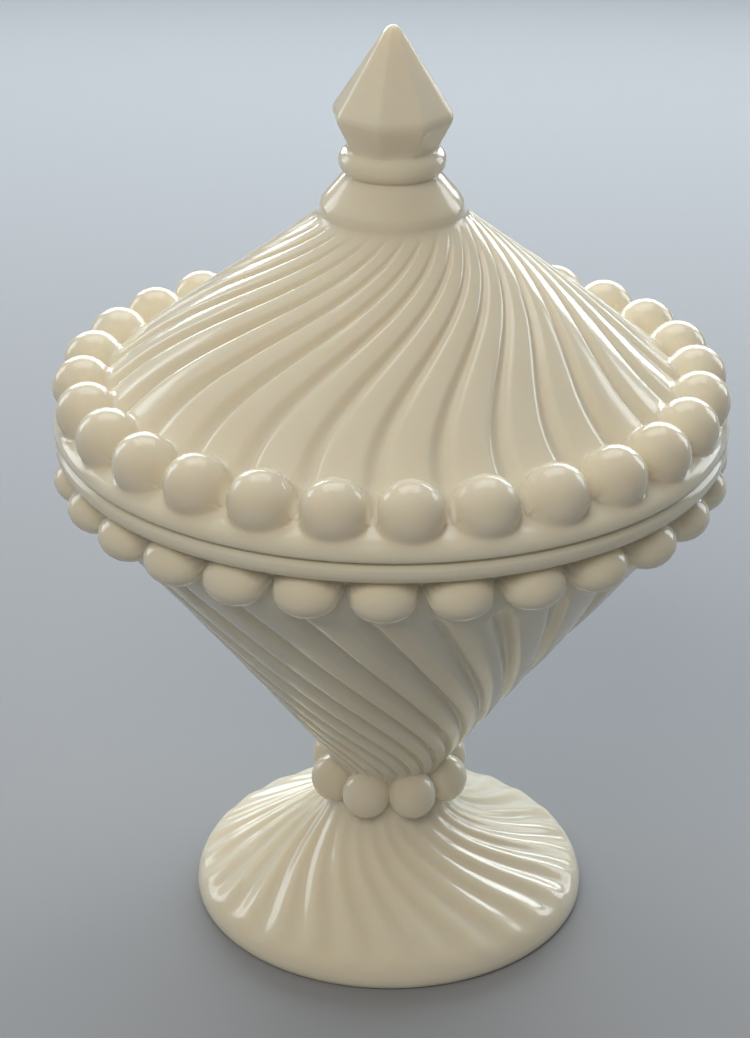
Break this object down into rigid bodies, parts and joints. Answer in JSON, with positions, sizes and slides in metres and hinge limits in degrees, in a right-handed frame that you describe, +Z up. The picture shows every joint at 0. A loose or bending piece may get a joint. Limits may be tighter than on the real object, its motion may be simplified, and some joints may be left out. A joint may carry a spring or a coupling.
{
  "type": "covered pedestal dish",
  "caption": "Footed glass dish with a lift-off pointed lid; cone-shaped bowl and lid have swirled ribs ending in rows of beads, above a beaded knop and a flared round foot.",
  "frame": {"origin": "centre of the foot's resting ring, on the dish's axis", "axes": "+Z up along the axis, from the foot to the lid's point; -Y is the side that faces the viewer"},
  "size_m": [0.1416, 0.1416, 0.1998],
  "materials": {
    "bowl_glass": "glossy opaque ivory pressed glass",
    "lid_glass": "glossy opaque ivory pressed glass"
  },
  "bodies": {
    "bowl": {"footed_bowl": "bowl_glass"},
    "lid": {"lid": "lid_glass"}
  },
  "joints": [
    {"name": "lid_lift", "type": "slide", "parent": "bowl", "child": "lid", "axis": [0, 0, 1], "range_m": [0, 0.1]}
  ]
}
